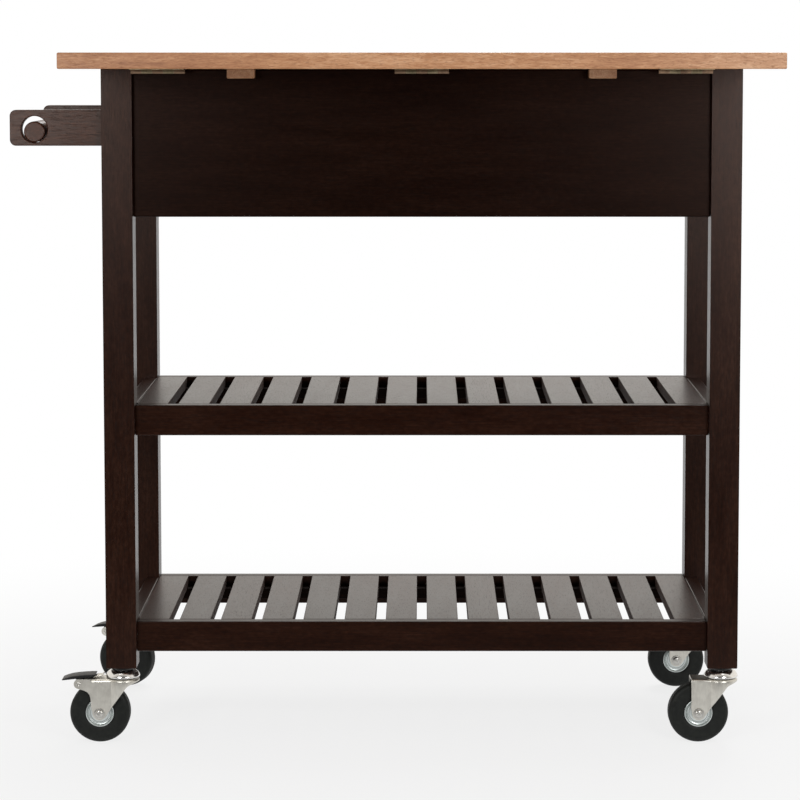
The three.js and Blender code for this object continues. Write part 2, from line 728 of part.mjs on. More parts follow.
addLegs(island);
addWorktop(island);
addLeaf(island);
addApron(island);
addSidePanels(island);
addDrawerCase(island);
addDrawers(island);
addSupports(island);
addHingeHalves(island, 'top_plate', 0, true, 0);
addHingeHalves(island, 'leaf_plate', 1, false, Math.PI);
addShelf(island, 'middle', middleShelfTop);
addShelf(island, 'lower', lowerShelfTop);
addTowelBar(island);
for (const caster of casters) addCaster(island, caster);

export default island;
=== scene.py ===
import json
import math

import bmesh
import bpy
from mathutils import Matrix, Vector


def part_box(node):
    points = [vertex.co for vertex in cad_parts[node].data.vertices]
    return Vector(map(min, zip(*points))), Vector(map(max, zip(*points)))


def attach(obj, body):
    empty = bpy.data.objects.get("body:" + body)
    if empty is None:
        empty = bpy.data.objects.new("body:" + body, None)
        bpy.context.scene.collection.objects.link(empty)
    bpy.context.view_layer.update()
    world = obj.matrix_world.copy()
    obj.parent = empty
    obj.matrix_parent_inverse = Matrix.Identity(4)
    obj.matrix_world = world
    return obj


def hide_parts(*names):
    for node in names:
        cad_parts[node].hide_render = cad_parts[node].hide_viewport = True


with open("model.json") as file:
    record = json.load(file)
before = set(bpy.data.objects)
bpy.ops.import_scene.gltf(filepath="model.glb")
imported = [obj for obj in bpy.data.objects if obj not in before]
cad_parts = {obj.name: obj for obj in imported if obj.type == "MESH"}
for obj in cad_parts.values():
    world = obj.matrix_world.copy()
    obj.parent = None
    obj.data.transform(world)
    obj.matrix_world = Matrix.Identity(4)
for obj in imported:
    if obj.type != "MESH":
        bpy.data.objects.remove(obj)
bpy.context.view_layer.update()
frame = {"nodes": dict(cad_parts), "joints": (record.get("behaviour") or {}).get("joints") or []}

# Finishes and fine parts of the drop leaf kitchen island. The frame is in metres, +Z up, with the
# leaf side towards -Y. The shapes below are drawn in millimetres and scaled when they are placed.

MM = 0.001
SIDES = ("left", "right")
ENDS = ("front", "back")
SHELVES = ("middle", "lower")
HINGES = ("left", "centre", "right")
CASTERS = ("front_left", "front_right", "back_left", "back_right")
JOINTS = {joint["name"]: joint for joint in frame["joints"]}

# ---- Sizes, in millimetres ----

WHEEL_RADIUS = 38
WHEEL_WIDTH = 22
HUB_RADIUS = 18
TREAD_GROOVES = 4
GROOVE_PITCH = 3.1
LEG_FOOT = 96
STEM_TOP = LEG_FOOT + 36
THREAD_TURNS = 22
THREAD_PITCH = 1.5
BOLT_RADIUS = 3.9
NUT_HEIGHT = 3.6
NUT_CORNER_RADIUS = 6.9

TRAIL = 28.7  # wheel's axle behind the swivel axis
CROWN_TOP = 82
CROWN_RADIUS = 21
FORK_HALF_WIDTH = 16
FORK_SHEET = 2
FORK_BEND = 2.5  # radius of the bend between the fork's sides and its crown
FORK_BACK = TRAIL + 9.8
FORK_END_RADIUS = 8.5
KINGPIN_HOLE_RADIUS = 5.3
EAR_RADIUS = 6  # ears of a braked fork, round the brake's pivot
EAR_SLIT = 0.6  # cut between the crown and the ears
SLIT_MIDDLE = -FORK_BACK - EAR_SLIT / 2
# In the middle of the fork's sheet
MID_RADIUS = CROWN_RADIUS - FORK_SHEET / 2
MID_HALF_WIDTH = FORK_HALF_WIDTH - FORK_SHEET / 2
MID_CROWN = CROWN_TOP - FORK_SHEET / 2
BEND_START = MID_CROWN - FORK_BEND
FOLD = -math.sqrt(MID_RADIUS ** 2 - MID_HALF_WIDTH ** 2)  # X where the round front meets the sides

BRAKE_PIVOT = (-TRAIL - 26, 75.8)
BRAKE_WIDTH = 25
BRAKE_TRAVEL = 25  # degrees

STAVE_WIDTH = 62
SLATS = 14
SLAT_GAP = 13
SLAT_THICKNESS = 14
CLEAT_WIDTH = 19
CLEAT_END_INSET = 1.5
CLEAT_SIDE_INSET = 1
BAR_HOLE_RADIUS = 16.5
BAR_SEAT = 0.3  # gap left below the bar in its holes
BRACKET_CORNER = 7.5
DRAWER_WALL = 12
DRAWER_BOTTOM = 5
DRAWER_BOTTOM_HEIGHT = 8
KNOB_NECK_RADIUS = 6.4

HINGE_PLATE = 1.5
HINGE_KNUCKLE = 6  # depth of a plate that its screws keep clear of
HINGE_SCREW_INSET = 10
GUIDE_SCREW_INSET = 22
GUIDE_SCREW_EDGE = 4


# ---- Materials ----

class Value:
    """A number or colour that changes over a surface. Sums and products add Math nodes."""

    def __init__(self, finish, socket):
        self.finish = finish
        self.socket = socket

    def __add__(self, other):
        return self.finish.math("ADD", self, other)

    def __sub__(self, other):
        return self.finish.math("SUBTRACT", self, other)

    def __rsub__(self, other):
        return self.finish.math("SUBTRACT", other, self)

    def __mul__(self, other):
        return self.finish.math("MULTIPLY", self, other)

    def __truediv__(self, other):
        return self.finish.math("DIVIDE", self, other)

    def between(self, low, high):
        """0 below low, 1 above high, and smooth from one to the other."""
        settings = {"interpolation_type": "SMOOTHSTEP"}
        values = {"Value": self, "From Min": low, "From Max": high}
        return self.finish.node("ShaderNodeMapRange", settings, values)["Result"]

    __radd__ = __add__
    __rmul__ = __mul__


class Finish:
    """A material whose pattern is written as expressions on the piece's own coordinates."""

    def __init__(self, name, **constants):
        self.material = bpy.data.materials.new(name)
        self.material.use_nodes = True
        self.tree = self.material.node_tree
        self.shader = self.tree.nodes["Principled BSDF"]
        self.place = self.node("ShaderNodeTexCoord")["Object"]
        for key, value in constants.items():
            self.set(key.replace("_", " ").title().replace("Ior", "IOR"), value)

    def plug(self, socket, value):
        if isinstance(value, Value):
            self.tree.links.new(value.socket, socket)
        elif isinstance(value, tuple) and len(socket.default_value) == len(value) + 1:
            socket.default_value = (*value, 1)
        else:
            socket.default_value = value

    def node(self, kind, settings=None, values=None):
        """Adds a node. Its settings come first, then the values or links of its sockets."""
        made = self.tree.nodes.new(kind)
        for key, value in (settings or {}).items():
            if key == "stops":
                ramp = made.color_ramp.elements
                while len(ramp) < len(value):
                    ramp.new(1)
                for stop, (position, colour) in zip(ramp, value):
                    stop.position = position
                    stop.color = (*colour, 1)
            else:
                setattr(made, key, value)
        sockets = {socket.identifier: socket for socket in made.inputs}
        for key, value in (values or {}).items():
            self.plug(sockets[key], value)
        return {socket.identifier: Value(self, socket) for socket in made.outputs}

    def set(self, name, value):
        self.plug(self.shader.inputs[name], value)

    def math(self, operation, first, second=0):
        values = {"Value": first, "Value_001": second}
        return self.node("ShaderNodeMath", {"operation": operation}, values)["Value"]

    def axis(self, letter):
        return self.node("ShaderNodeSeparateXYZ", values={"Vector": self.place})[letter]

    def upward(self):
        """1 on level tops, 0 on upright sides."""
        normal = self.node("ShaderNodeTexCoord")["Normal"]
        return self.node("ShaderNodeSeparateXYZ", values={"Vector": normal})["Z"]

    def offset(self, **parts):
        return self.node("ShaderNodeCombineXYZ", values=parts)["Vector"]

    def scaled(self, scale, shift=None):
        """The coordinates times a scale along each axis, plus a shift."""
        values = {"Vector": self.place, "Vector_001": scale}
        vector = self.node("ShaderNodeVectorMath", {"operation": "MULTIPLY"}, values)["Vector"]
        if shift is None:
            return vector
        values = {"Vector": vector, "Vector_001": shift}
        return self.node("ShaderNodeVectorMath", {"operation": "ADD"}, values)["Vector"]

    def along(self, letter, along, across, shift=None):
        """Coordinates for a pattern that is drawn out along one axis, in patches to the metre."""
        scale = tuple(along if axis == letter else across for axis in "XYZ")
        return self.scaled(scale, shift)

    def noise(self, vector, detail=2, distortion=0.0):
        values = {"Vector": vector, "Scale": 1, "Detail": detail, "Distortion": distortion}
        return self.node("ShaderNodeTexNoise", values=values)["Fac"]

    def random(self, number):
        settings = {"noise_dimensions": "1D"}
        return self.node("ShaderNodeTexWhiteNoise", settings, {"W": number})["Value"]

    def ramp(self, factor, stops):
        return self.node("ShaderNodeValToRGB", {"stops": stops}, {"Fac": factor})["Color"]

    def mix(self, factor, first, second):
        values = {"Factor_Float": factor, "A_Color": first, "B_Color": second}
        return self.node("ShaderNodeMix", {"data_type": "RGBA"}, values)["Result_Color"]

    def blend(self, factor, first, second):
        """A mix of two shaders."""
        values = {"Fac": factor, "Shader": first, "Shader_001": second}
        return self.node("ShaderNodeMixShader", values=values)["Shader"]

    def glow(self, colour):
        return self.node("ShaderNodeEmission", values={"Color": colour})["Emission"]

    def bump(self, height, distance):
        """Relief whose full height is a distance in metres."""
        values = {"Height": height, "Distance": distance, "Strength": 1.0}
        self.set("Normal", self.node("ShaderNodeBump", values=values)["Normal"])


def shaded(colour, factor):
    """A colour made darker or lighter by a factor."""
    return tuple(part * factor for part in colour)


# Stops of the dark stain and of the clear hardwood, from the grain's darkest part to its palest.
ESPRESSO_STAIN = [(0.15, (0.0095, 0.0019, 0.0005)), (0.42, (0.018, 0.0042, 0.0014)),
                  (0.62, (0.0265, 0.0075, 0.0029)), (0.88, (0.042, 0.0145, 0.0075))]
CLEAR_HARDWOOD = [(0.15, (0.28, 0.115, 0.05)), (0.4, (0.395, 0.178, 0.081)),
                  (0.6, (0.48, 0.238, 0.114)), (0.85, (0.61, 0.345, 0.192))]
GLUE_LINE = (0.22, 0.1, 0.05)
# Tints of the lacquers' sheen.
WARM_SHEEN = (1.0, 0.8, 0.72)
PANEL_SHEEN = (1.0, 0.7, 0.6)
BRACKET_SHEEN = (1.0, 0.92, 0.86)
SLAT_SHEEN = (1.0, 0.97, 0.93)


def espresso(letter, name, depth, lacquer, sheen=WARM_SHEEN, slats=None):
    """Dark lacquered hardwood with its grain along an axis. A greater depth is darker: it stands
    for the stain, and also for painted shade on the apron panel and a painted highlight on the
    brackets.

    lacquer is its IOR. slats gives the first slat's edge and the pitch, and slats are dull on their
    sides."""
    finish = Finish(name, ior=lacquer, specular_tint=sheen)
    shift = None
    tone = 0.0
    if slats:
        chance = finish.random(finish.math("FLOOR", (finish.axis("X") - slats[0]) / slats[1]))
        tone = (chance - 0.5) * 0.25
        shift = finish.offset(Y=chance * 40, Z=chance * 90)
    cloud = finish.noise(finish.along(letter, 2, 14, shift), 2, 0.3)
    figure = finish.noise(finish.along(letter, 9, 60, shift), 3, 0.6)
    mottle = finish.noise(finish.along(letter, 130, 320, shift), 2, 0.4)
    fibre = finish.noise(finish.along(letter, 22, 700, shift), 2)
    pores = finish.noise(finish.along(letter, 75, 1500, shift), 1).between(0.58, 0.68)
    shade = (cloud * 0.2 + figure * 0.25 + mottle * 0.3 + fibre * 0.25 - 0.5) * 2.6 + 0.5 + tone
    stops = [(stop, tuple(part / depth for part in colour)) for stop, colour in ESPRESSO_STAIN]
    colour = finish.ramp(shade, stops)
    finish.set("Base Color", finish.mix(pores * 0.6, colour, shaded(stops[0][1], 0.5)))
    roughness = figure * 0.08 + mottle * 0.06 + pores * 0.1 + 0.25
    if slats:
        roughness = roughness + (1 - finish.upward().between(0.3, 0.7)) * 0.45
    finish.set("Roughness", roughness)
    finish.bump(fibre * 0.5 + mottle * 0.4 - pores * 0.6, 0.00004)
    return finish.material


def stained_wood(letter, name):
    """Dark stain without lacquer, on the parts below the slats."""
    finish = Finish(name, ior=1.15)
    fibre = finish.noise(finish.along(letter, 12, 500), 2)
    stain = [(0.35, (0.006, 0.003, 0.002)), (0.7, (0.014, 0.007, 0.005))]
    finish.set("Base Color", finish.ramp(fibre, stain))
    finish.set("Roughness", fibre * 0.2 + 0.7)
    finish.bump(fibre, 0.00005)
    return finish.material


def hardwood(letter, name, light, stave=None):
    """Clear-lacquered pinkish hardwood, glued up from staves across Y if their width is given."""
    finish = Finish(name, ior=1.42)
    shift = None
    tone = 0.0
    if stave:
        across = finish.axis("Y") / stave + 0.31
        chance = finish.random(finish.math("FLOOR", across))
        tone = (chance - 0.5) * 0.3
        shift = finish.offset(X=chance * 9, Z=chance * 70)
        from_middle = finish.math("ABSOLUTE", finish.math("FRACT", across) - 0.5)
        seam = from_middle.between(0.494, 0.4985)
    cloud = finish.noise(finish.along(letter, 2.6, 7, shift), 1)
    figure = finish.noise(finish.along(letter, 4, 50, shift), 3, 0.9)
    flame = finish.noise(finish.along(letter, 30, 170, shift), 3, 1.0)
    fibre = finish.noise(finish.along(letter, 120, 800, shift), 2, 0.5)
    flecks = finish.noise(finish.along(letter, 190, 1000, shift), 1, 0.6).between(0.57, 0.66)
    shade = (cloud * 0.3 + figure * 0.2 + flame * 0.25 + fibre * 0.25 - 0.5) * 2.8 + 0.5 + tone
    # light scales the whole colour; its low value on the leaf supports is painted shade.
    colour = finish.ramp(shade, [(stop, shaded(wood, light)) for stop, wood in CLEAR_HARDWOOD])
    colour = finish.mix(flecks * 0.45, colour, shaded(CLEAR_HARDWOOD[0][1], 0.7 * light))
    if stave:
        colour = finish.mix(seam * 0.45, colour, GLUE_LINE)
    finish.set("Base Color", colour)
    finish.set("Roughness", figure * 0.1 + flecks * 0.12 + 0.34)
    finish.bump(fibre * 0.5 - flecks * 0.6, 0.00006)
    return finish.material


def bare_wood(letter, name, pale=(0.66, 0.5, 0.33)):
    """Sanded and sealed wood of the drawers, their runners and the supports' guides."""
    finish = Finish(name)
    figure = finish.noise(finish.along(letter, 2, 30), 3, 0.7)
    fibre = finish.noise(finish.along(letter, 25, 650), 2)
    flecks = finish.noise(finish.along(letter, 110, 1300), 1).between(0.6, 0.72)
    colour = finish.ramp(figure * 0.7 + fibre * 0.3, [(0.3, shaded(pale, 0.72)), (0.7, pale)])
    finish.set("Base Color", finish.mix(flecks * 0.3, colour, shaded(pale, 0.45)))
    finish.set("Roughness", fibre * 0.15 + 0.5)
    finish.bump(fibre, 0.00008)
    return finish.material


def plated(name, bright, dull, roughness, spread=0.1, scale=90):
    """Plated sheet steel: cloudy tone, fine scuffs and a roughness that wanders."""
    finish = Finish(name, metallic=1.0)
    cloud = finish.noise(finish.scaled((scale,) * 3), 3, 0.4)
    scuffs = finish.noise(finish.scaled((scale * 6, scale * 6, scale * 1.2)), 2)
    tones = [(0.35, dull), (0.65, bright)]
    finish.set("Base Color", finish.ramp(cloud * 0.7 + scuffs * 0.3, tones))
    finish.set("Roughness", cloud * spread + scuffs * spread * 0.5 + roughness)
    finish.bump(scuffs, 0.00003)
    return finish.material


def rubber():
    """Black rubber, a little dusty and finely pitted."""
    finish = Finish("tyre_rubber", specular_ior_level=0.22)
    dust = finish.noise(finish.scaled((160,) * 3), 3)
    pits = finish.noise(finish.scaled((1400,) * 3), 1)
    tones = [(0.35, (0.006, 0.007, 0.006)), (0.7, (0.0125, 0.014, 0.012))]
    finish.set("Base Color", finish.ramp(dust, tones))
    finish.set("Roughness", dust * 0.15 + 0.42)
    finish.bump(pits, 0.00005)
    return finish.material


def moulded(name, tone, roughness, gloss=0.5):
    """Black enamelled or moulded parts with a fine orange-peel."""
    finish = Finish(name, specular_ior_level=gloss)
    peel = finish.noise(finish.scaled((700,) * 3), 2)
    wear = finish.noise(finish.scaled((120,) * 3), 3)
    tones = [(0.35, (tone * 0.7,) * 3), (0.7, (tone * 1.5,) * 3)]
    finish.set("Base Color", finish.ramp(wear, tones))
    finish.set("Roughness", wear * 0.15 + roughness)
    finish.bump(peel, 0.00004)
    return finish.material


# ---- Shapes ----

def tidy(mesh, smooth_below=35):
    """Merges doubles, points the faces outwards and shades smooth where the surface bends gently.

    Faces square to an axis are flat, so that the eased edges beside them don't tint them."""
    shape = bmesh.new()
    shape.from_mesh(mesh)
    bmesh.ops.remove_doubles(shape, verts=shape.verts, dist=1e-4)
    bmesh.ops.recalc_face_normals(shape, faces=shape.faces)
    shape.to_mesh(mesh)
    shape.free()
    mesh.set_sharp_from_angle(angle=math.radians(smooth_below))
    for face in mesh.polygons:
        face.use_smooth = max(abs(part) for part in face.normal) < 0.9999
    return mesh


def turned(profile, segments=64, smooth_below=35):
    """A solid turned about Z from [radius, height] points listed from the bottom up."""
    points, rings, faces = [], [], []
    for radius, height in profile:
        count = segments if radius > 0 else 1
        rings.append(range(len(points), len(points) + count))
        for step in range(count):
            angle = 2 * math.pi * step / segments
            points.append((radius * math.cos(angle), radius * math.sin(angle), height))
    for lower, upper in zip(rings, rings[1:]):
        for step in range(segments):
            following = (step + 1) % segments
            corners = [lower[step % len(lower)], lower[following % len(lower)],
                       upper[following % len(upper)], upper[step % len(upper)]]
            face = [corner for index, corner in enumerate(corners) if corner not in corners[:index]]
            if len(face) > 2:
                faces.append(face)
    mesh = bpy.data.meshes.new("shape")
    mesh.from_pydata(points, [], faces)
    return tidy(mesh, smooth_below)


def arc(centre, radius, start, end, count=8):
    """Points on an arc, with angles in degrees."""
    angles = [math.radians(start + (end - start) * step / count) for step in range(count + 1)]
    return [(centre[0] + radius * math.cos(angle), centre[1] + radius * math.sin(angle))
            for angle in angles]


def even_ended(side, half, middle=()):
    """A closed profile for turned, from -half to half. The heights in side count from an end."""
    profile = [(radius, height - half) for radius, height in (*side, *middle)]
    profile += [(radius, half - height) for radius, height in reversed(side)]
    return [*profile, profile[0]]


def round_hole(centre, radius, count):
    """A closed loop of points, listed clockwise as holes are."""
    return arc(centre, radius, 360, 0, count)[:-1]


def slab(outline, depth, bevel, holes=(), segments=3):
    """A plate with eased edges, drawn flat in X and Y and depth thick about Z = 0."""
    curve = bpy.data.curves.new("outline", "CURVE")
    curve.dimensions = "2D"
    curve.fill_mode = "BOTH"
    for loop in (outline, *holes):
        spline = curve.splines.new("POLY")
        spline.points.add(len(loop) - 1)
        for point, (x, y) in zip(spline.points, loop):
            point.co = (x, y, 0, 1)
        spline.use_cyclic_u = True
    curve.extrude = depth / 2 - bevel
    curve.bevel_depth = bevel
    curve.bevel_resolution = segments
    curve.offset = -bevel
    holder = bpy.data.objects.new("outline", curve)
    bpy.context.scene.collection.objects.link(holder)
    return tidy(applied(holder))


def applied(holder):
    """The object's final mesh, with its modifiers applied; the object is removed."""
    bpy.context.view_layer.update()
    graph = bpy.context.evaluated_depsgraph_get()
    mesh = bpy.data.meshes.new_from_object(holder.evaluated_get(graph), depsgraph=graph)
    bpy.data.objects.remove(holder)
    return mesh


def with_modifiers(mesh, *modifiers):
    """Applies modifiers, each given as its type and its settings."""
    holder = bpy.data.objects.new("shape", mesh)
    bpy.context.scene.collection.objects.link(holder)
    for kind, settings in modifiers:
        modifier = holder.modifiers.new(kind.lower(), kind)
        for key, value in settings.items():
            setattr(modifier, key, value)
    return applied(holder)


def board(low, high, ease=1.2, segments=3):
    """A board between two corners, with eased edges."""
    shape = bmesh.new()
    bmesh.ops.create_cube(shape, size=1)
    size = [top - bottom for bottom, top in zip(low, high)]
    middle = [(top + bottom) / 2 for bottom, top in zip(low, high)]
    place = Matrix.Translation(middle) @ Matrix.Diagonal((*size, 1))
    bmesh.ops.transform(shape, verts=shape.verts, matrix=place)
    bmesh.ops.bevel(shape, geom=shape.edges, offset=ease, segments=segments, profile=0.5,
                    affect="EDGES")
    mesh = bpy.data.meshes.new("board")
    shape.to_mesh(mesh)
    shape.free()
    return tidy(mesh, 50)


def joined(*meshes):
    """One mesh from several, each given as a mesh or as a mesh and its matrix."""
    shape = bmesh.new()
    for entry in meshes:
        mesh, matrix = entry if isinstance(entry, tuple) else (entry, Matrix.Identity(4))
        moved = mesh.copy()
        moved.transform(matrix)
        shape.from_mesh(moved)
    mesh = bpy.data.meshes.new("joined")
    shape.to_mesh(mesh)
    shape.free()
    return mesh


def move(x=0.0, y=0.0, z=0.0):
    return Matrix.Translation((x, y, z))


def turn(degrees, axis):
    return Matrix.Rotation(math.radians(degrees), 4, axis)


ALONG_Y = turn(-90, "X")  # lays a shape made about Z along +Y
UPRIGHT = turn(90, "X")  # a shape drawn in X and Y then stands in X and Z, its thickness along Y


def piece(name, mesh, finish, body, matrix=None, stands_for=()):
    """Adds a finished piece, scaled to metres, with its place in its mesh."""
    matrix = matrix or Matrix.Identity(4)
    mesh.transform(Matrix.Scale(MM, 4) @ matrix)
    mesh.name = name
    mesh.materials.clear()
    mesh.materials.append(finish)
    for face in mesh.polygons:
        face.material_index = 0
    shown = bpy.data.objects.new(name, mesh)
    bpy.context.scene.collection.objects.link(shown)
    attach(shown, body)
    if stands_for:
        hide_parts(*stands_for)


def box_mm(node):
    """Lowest and highest corner of a CAD node, in millimetres."""
    low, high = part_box(node)
    return low / MM, high / MM


# ---- Repeats: a tree that sets copies of a part in a row ----

def row_tree():
    tree = bpy.data.node_groups.new("row_of_parts", "GeometryNodeTree")
    face = tree.interface
    face.new_socket("Geometry", in_out="OUTPUT", socket_type="NodeSocketGeometry")
    for name, kind in (("Part", "Object"), ("Count", "Int"), ("Start", "Vector"),
                       ("Step", "Vector"), ("Turn", "Vector"), ("Random turn", "Float"),
                       ("Seed", "Int"), ("Finish", "Material")):
        face.new_socket(name, in_out="INPUT", socket_type=f"NodeSocket{kind}")
    nodes, links = tree.nodes, tree.links
    given = nodes.new("NodeGroupInput").outputs
    line = nodes.new("GeometryNodeMeshLine")
    links.new(given["Count"], line.inputs["Count"])
    links.new(given["Start"], line.inputs["Start Location"])
    links.new(given["Step"], line.inputs["Offset"])
    part = nodes.new("GeometryNodeObjectInfo")
    links.new(given["Part"], part.inputs["Object"])
    twist = nodes.new("FunctionNodeRandomValue")
    links.new(given["Random turn"], twist.inputs[3])  # greatest number
    links.new(given["Seed"], twist.inputs["Seed"])
    spin = nodes.new("ShaderNodeCombineXYZ")
    links.new(twist.outputs[1], spin.inputs["Z"])  # the number, not the vector
    copies = nodes.new("GeometryNodeInstanceOnPoints")
    links.new(line.outputs["Mesh"], copies.inputs["Points"])
    links.new(part.outputs["Geometry"], copies.inputs["Instance"])
    links.new(given["Turn"], copies.inputs["Rotation"])
    twisted = nodes.new("GeometryNodeRotateInstances")
    links.new(copies.outputs["Instances"], twisted.inputs["Instances"])
    links.new(spin.outputs["Vector"], twisted.inputs["Rotation"])
    real = nodes.new("GeometryNodeRealizeInstances")
    links.new(twisted.outputs["Instances"], real.inputs["Geometry"])
    coat = nodes.new("GeometryNodeSetMaterial")
    links.new(real.outputs["Geometry"], coat.inputs["Geometry"])
    links.new(given["Finish"], coat.inputs["Material"])
    output = nodes.new("NodeGroupOutput")
    links.new(coat.outputs["Geometry"], output.inputs["Geometry"])
    return tree


def row(part, finish, count, start, step, turned_by=(0, 0, 0), random_turn=0.0, seed=0):
    """A mesh of count copies of a part, each a step on from the last and turned on itself."""
    source = bpy.data.objects.new("part", part)
    bpy.context.scene.collection.objects.link(source)
    holder = bpy.data.objects.new("row", bpy.data.meshes.new("row"))
    bpy.context.scene.collection.objects.link(holder)
    modifier = holder.modifiers.new("row", "NODES")
    modifier.node_group = ROW
    values = {"Part": source, "Count": count, "Start": start, "Step": step, "Turn": turned_by,
              "Random turn": random_turn, "Seed": seed, "Finish": finish}
    for socket in ROW.interface.items_tree:
        if socket.in_out == "INPUT":
            modifier[socket.identifier] = values[socket.name]
    mesh = applied(holder)
    bpy.data.objects.remove(source)
    return mesh


ROW = row_tree()


# ---- Finishes in use ----

slats_low, slats_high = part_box("middle_shelf_slats")
SLAT_PITCH = (slats_high.x - slats_low.x + SLAT_GAP * MM) / SLATS / MM
# The first slat's edge, half a gap out, and the pitch, both in metres.
SLAT_PATTERN = (slats_low.x - SLAT_GAP * MM / 2, SLAT_PITCH * MM)

leg_lacquer = espresso("Z", "leg_lacquer", 1.3, 1.32)
rail_lacquer = espresso("X", "rail_lacquer", 1.35, 1.24)
side_lacquer = espresso("Y", "side_lacquer", 1.2, 1.24)
# The apron panel's stain is made far darker than the legs' to stand in for the shadow of the leaf
# above it: painted shade.
panel_lacquer_painted_shade = espresso("X", "panel_lacquer_painted_shade", 3.0, 1.2, PANEL_SHEEN)
# The brackets' stain is made far paler than the legs' to stand in for the lamp's highlight on them:
# painted highlight.
bracket_lacquer_painted_highlight = espresso("X", "bracket_lacquer_painted_highlight", 0.53, 1.35, BRACKET_SHEEN)
bar_lacquer = espresso("Y", "bar_lacquer", 0.45, 1.35, BRACKET_SHEEN)
slat_lacquer = espresso("Y", "slat_lacquer", 0.9, 1.38, SLAT_SHEEN, SLAT_PATTERN)
stained = stained_wood("X", "stained_wood")
top_wood = hardwood("X", "top_hardwood", 0.95, STAVE_WIDTH * MM)
# The leaf supports' hardwood is darkened to stand in for the leaf's shadow over them: painted
# shade.
support_wood_painted_shade = hardwood("Y", "support_hardwood_painted_shade", 0.69)
drawer_wood_x = bare_wood("X", "drawer_wood_x")
drawer_wood_y = bare_wood("Y", "drawer_wood_y")
drawer_ply = bare_wood("Y", "drawer_bottom", (0.58, 0.4, 0.24))
brass = plated("hinge_brass", (0.44, 0.35, 0.22), (0.22, 0.18, 0.11), 0.32)
aged_brass = plated("hinge_brass_aged", (0.44, 0.29, 0.19), (0.22, 0.14, 0.09), 0.34)
fork_zinc = plated("fork_zinc", (0.7, 0.68, 0.62), (0.56, 0.54, 0.49), 0.27)
hub_zinc = plated("hub_zinc", (0.68, 0.72, 0.71), (0.54, 0.58, 0.57), 0.3)
dome_zinc = plated("dome_zinc", (0.8, 0.79, 0.77), (0.7, 0.69, 0.67), 0.17, 0.05)
screw_steel = plated("screw_steel", (0.6, 0.59, 0.56), (0.45, 0.44, 0.41), 0.25, scale=400)
nickel = plated("knob_nickel", (0.64, 0.61, 0.57), (0.56, 0.53, 0.49), 0.22, 0.06)
tyre_rubber = rubber()
washer_black = moulded("washer_black", 0.01, 0.12)
brake_black = moulded("brake_black", 0.014, 0.36, 0.2)


# ---- Parts that keep their CAD shape ----

KEPT = {
    panel_lacquer_painted_shade: ["apron_panel"],
    rail_lacquer: ["drawer_rail", "drawer_front_left", "drawer_front_right",
                   *[f"{shelf}_shelf_{end}_rail" for shelf in SHELVES for end in ENDS]],
    side_lacquer: ["side_panel_left", "side_panel_right",
                   *[f"{shelf}_shelf_{side}_rail" for shelf in SHELVES for side in SIDES]],
    leg_lacquer: ["drawer_divider", *[f"leg_{end}_{side}" for end in ENDS for side in SIDES]],
    top_wood: ["fixed_top", "drop_leaf"],
    support_wood_painted_shade: ["leaf_support_left", "leaf_support_right"],
    drawer_wood_y: ["drawer_runner_left", "drawer_runner_right",
                    "support_guide_left", "support_guide_right"],
    aged_brass: [f"hinge_{place}_top_plate" for place in HINGES],
    brass: [f"hinge_{place}_leaf_plate" for place in HINGES],
}
for finish, nodes in KEPT.items():
    for node in nodes:
        mesh = frame["nodes"][node].data
        mesh.materials.clear()
        mesh.materials.append(finish)


# ---- Slatted shelves ----

def add_shelf(name):
    node = f"{name}_shelf_slats"
    low, high = box_mm(node)
    underside = high.z - SLAT_THICKNESS
    slat = board((0, low.y, underside), (SLAT_PITCH - SLAT_GAP, high.y, high.z), 0.9, 2)
    slats = row(slat, slat_lacquer, SLATS, (low.x, 0, 0), (SLAT_PITCH, 0, 0))
    left, right = low.x + CLEAT_END_INSET, high.x - CLEAT_END_INSET
    cleats = [board((left, y, low.z), (right, y + CLEAT_WIDTH, underside), 0.8, 1)
              for y in (low.y + CLEAT_SIDE_INSET, high.y - CLEAT_SIDE_INSET - CLEAT_WIDTH)]
    piece(f"{name}_slats", slats, slat_lacquer, "frame", stands_for=[node])
    piece(f"{name}_cleats", joined(*cleats), stained, "frame", stands_for=[node])


for shelf in SHELVES:
    add_shelf(shelf)


# ---- Towel bar ----

def add_bracket(end):
    low, high = box_mm(f"towel_bracket_{end}")
    bar_low, bar_high = box_mm("towel_bar")
    hole_x = (bar_low.x + bar_high.x) / 2 - low.x
    hole_z = bar_low.z - low.z + BAR_HOLE_RADIUS - BAR_SEAT
    length, height = high.x - low.x, high.z - low.z
    corner = BRACKET_CORNER
    outline = [(length, 0), (length, height), *arc((corner, height - corner), corner, 90, 180),
               *arc((corner, corner), corner, 180, 270)]
    hole = round_hole((hole_x, hole_z), BAR_HOLE_RADIUS, 48)
    mesh = slab(outline, high.y - low.y, 1, [hole])
    place = move(low.x, (low.y + high.y) / 2, low.z) @ UPRIGHT
    piece(f"bracket_{end}", mesh, bracket_lacquer_painted_highlight, "frame", place,
          [f"towel_bracket_{end}"])


def add_bar():
    low, high = box_mm("towel_bar")
    radius, length = (high.z - low.z) / 2, high.y - low.y
    end = [(0, 0), (radius - 1.6, 0), (radius - 0.5, 0.4), (radius, 1.5)]
    bar = turned([*end, *[(across, length - along) for across, along in reversed(end)]], 72)
    place = move((low.x + high.x) / 2, low.y, (low.z + high.z) / 2) @ ALONG_Y
    piece("bar", bar, bar_lacquer, "towel_bar", place, ["towel_bar"])


for end in ENDS:
    add_bracket(end)
add_bar()


# ---- Drawers ----

